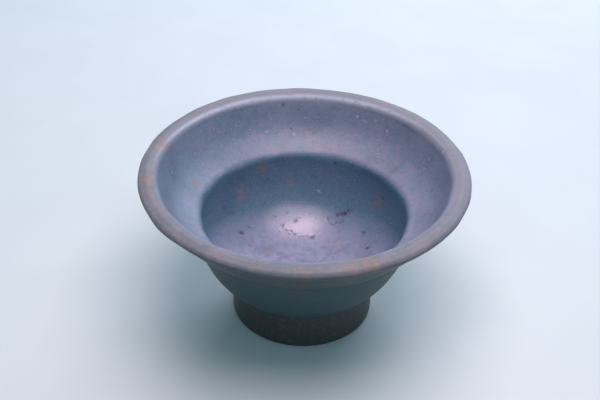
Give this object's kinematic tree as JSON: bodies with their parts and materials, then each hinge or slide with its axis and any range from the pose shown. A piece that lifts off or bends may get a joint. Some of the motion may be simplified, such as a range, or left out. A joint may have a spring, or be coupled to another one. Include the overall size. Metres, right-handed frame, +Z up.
{
  "type": "glass patella cup",
  "caption": "Small footed cup of weathered dark glass: wide flaring rim, inner step, deep rounded basin and a low foot ring.",
  "frame": {"origin": "centre of the foot ring's resting plane", "axes": "+Z up along the cup's axis of turning, from the foot to the rim"},
  "size_m": [0.092, 0.092, 0.0479],
  "materials": {
    "weathered_glass": "satin, dark blue and lilac weathering film, opaque"
  },
  "bodies": {
    "root": {"cup": "weathered_glass"}
  },
  "joints": []
}
